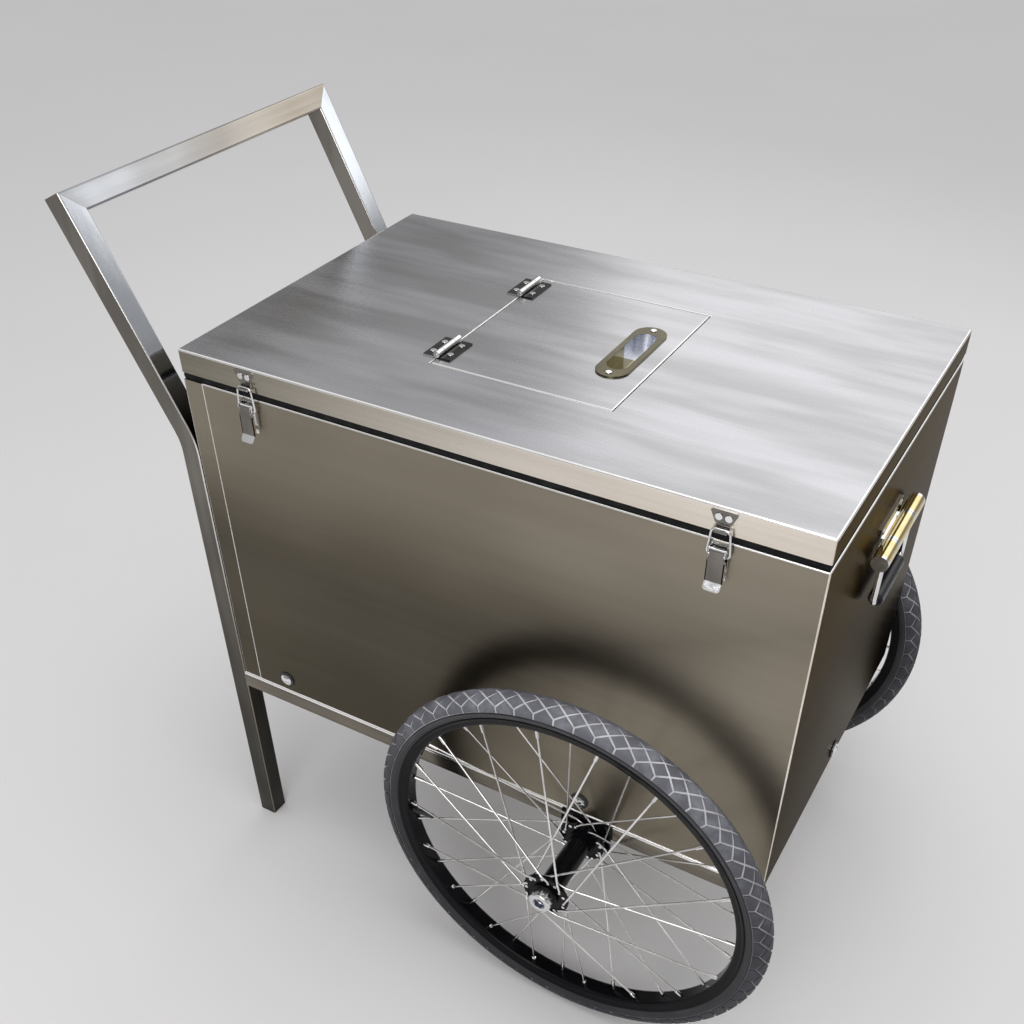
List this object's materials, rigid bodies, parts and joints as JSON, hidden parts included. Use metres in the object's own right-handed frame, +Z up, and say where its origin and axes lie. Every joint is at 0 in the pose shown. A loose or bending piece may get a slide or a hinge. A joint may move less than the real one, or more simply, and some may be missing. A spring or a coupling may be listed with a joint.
{
  "type": "ice cream push cart",
  "caption": "Insulated stainless ice cream cart on spoked wheels, with a bent-tube push handle, a latched hinged lid, a small serving hatch and a folding front handle.",
  "frame": {"origin": "on the floor under the middle of the cart's overall length and width", "axes": "+X forward, away from the push handle; +Y to the left of the person pushing; +Z up"},
  "size_m": [1.1262, 0.851, 1.0965],
  "materials": {
    "tube_steel": "satin stainless square tube",
    "panel_steel": "brushed stainless sheet, grain along the sheet",
    "lid_steel": "brushed stainless sheet, grain along the cart",
    "liner_steel": "plain stainless sheet",
    "insulation": "rigid foam block",
    "gasket_foam": "black closed-cell foam",
    "fittings_chrome": "polished",
    "axle_steel": "turned, zinc plated",
    "black_enamel": "gloss black enamel",
    "spoke_chrome": "bright drawn wire",
    "tyre_rubber": "matt black, worn",
    "tube_rubber": "smooth",
    "grip_plastic": "black vinyl sleeve"
  },
  "bodies": {
    "cart": {"right_leg_tube": "tube_steel", "left_leg_tube": "tube_steel", "push_bar": "tube_steel", "leg_end_caps": "tube_steel", "right_base_rail": "tube_steel", "left_base_rail": "tube_steel", "base_crossmembers": "tube_steel", "axle_shaft": "axle_steel", "axle_brackets": "black_enamel", "axle_nuts": "axle_steel", "bearing_inner_rings": "axle_steel", "right_side_panel": "panel_steel", "left_side_panel": "panel_steel", "front_panel": "panel_steel", "rear_panel": "panel_steel", "floor_panel": "panel_steel", "inner_liner": "liner_steel", "wall_insulation": "insulation", "box_rim": "liner_steel", "lid_gasket": "gasket_foam", "body_bolts": "fittings_chrome", "latch_bases": "fittings_chrome", "lid_hinge_box_leaves": "fittings_chrome", "lid_hinge_pins": "fittings_chrome", "front_handle_plate": "fittings_chrome", "box_rivets": "fittings_chrome"},
    "lid": {"lid_skin": "lid_steel", "lid_liner": "liner_steel", "lid_insulation": "insulation", "hatch_frame": "liner_steel", "hatch_gasket": "gasket_foam", "lid_hinge_lid_leaves": "fittings_chrome", "latch_keepers": "fittings_chrome", "hatch_hinge_lid_leaves": "fittings_chrome", "hatch_hinge_pins": "fittings_chrome", "lid_rivets": "fittings_chrome"},
    "hatch": {"hatch_plate": "lid_steel", "hatch_insulation": "insulation", "hatch_pan": "liner_steel", "flush_pull": "fittings_chrome", "hatch_hinge_leaves": "fittings_chrome", "hatch_rivets": "fittings_chrome"},
    "rear_lever": {"rear_latch_lever": "fittings_chrome"},
    "rear_bail": {"rear_latch_bail": "fittings_chrome"},
    "front_lever": {"front_latch_lever": "fittings_chrome"},
    "front_bail": {"front_latch_bail": "fittings_chrome"},
    "front_handle": {"front_handle_bail": "fittings_chrome", "front_handle_grip": "grip_plastic"},
    "right_wheel": {"right_tyre": "tyre_rubber", "right_inner_tube": "tube_rubber", "right_rim": "black_enamel", "right_spokes": "spoke_chrome", "right_hub": "black_enamel", "right_bearings": "axle_steel"},
    "left_wheel": {"left_tyre": "tyre_rubber", "left_inner_tube": "tube_rubber", "left_rim": "black_enamel", "left_spokes": "spoke_chrome", "left_hub": "black_enamel", "left_bearings": "axle_steel"}
  },
  "joints": [
    {"name": "right_wheel_spin", "type": "hinge", "parent": "cart", "child": "right_wheel", "pos_m": [0.25512, -0.349, 0.308], "axis": [0, 1, 0], "continuous": true},
    {"name": "left_wheel_spin", "type": "hinge", "parent": "cart", "child": "left_wheel", "pos_m": [0.25512, 0.349, 0.308], "axis": [0, 1, 0], "continuous": true},
    {"name": "lid_hinge", "type": "hinge", "parent": "cart", "child": "lid", "pos_m": [0.07012, 0.2848, 0.88202], "axis": [-1, 0, 0], "range_deg": [0, 105]},
    {"name": "hatch_hinge", "type": "hinge", "parent": "lid", "child": "hatch", "pos_m": [-0.06263, 0, 0.92482], "axis": [0, -1, 0], "range_deg": [0, 170]},
    {"name": "front_handle_swing", "type": "hinge", "parent": "cart", "child": "front_handle", "pos_m": [0.53412, 0, 0.76802], "axis": [0, -1, 0], "range_deg": [0, 90]},
    {"name": "rear_latch_lift", "type": "hinge", "parent": "cart", "child": "rear_lever", "pos_m": [-0.26688, -0.2871, 0.86842], "axis": [-1, 0, 0], "range_deg": [0, 110]},
    {"name": "rear_bail_swing", "type": "hinge", "parent": "rear_lever", "child": "rear_bail", "pos_m": [-0.26688, -0.2851, 0.86042], "axis": [-1, 0, 0], "range_deg": [-91.3, 0]},
    {"name": "front_latch_lift", "type": "hinge", "parent": "cart", "child": "front_lever", "pos_m": [0.39712, -0.2871, 0.86842], "axis": [-1, 0, 0], "range_deg": [0, 110]},
    {"name": "front_bail_swing", "type": "hinge", "parent": "front_lever", "child": "front_bail", "pos_m": [0.39712, -0.2851, 0.86042], "axis": [-1, 0, 0], "range_deg": [-91.3, 0]}
  ],
  "couplings": [
    {"joint": "rear_bail_swing", "follows": "rear_latch_lift", "ratio": -0.83},
    {"joint": "front_bail_swing", "follows": "front_latch_lift", "ratio": -0.83}
  ]
}
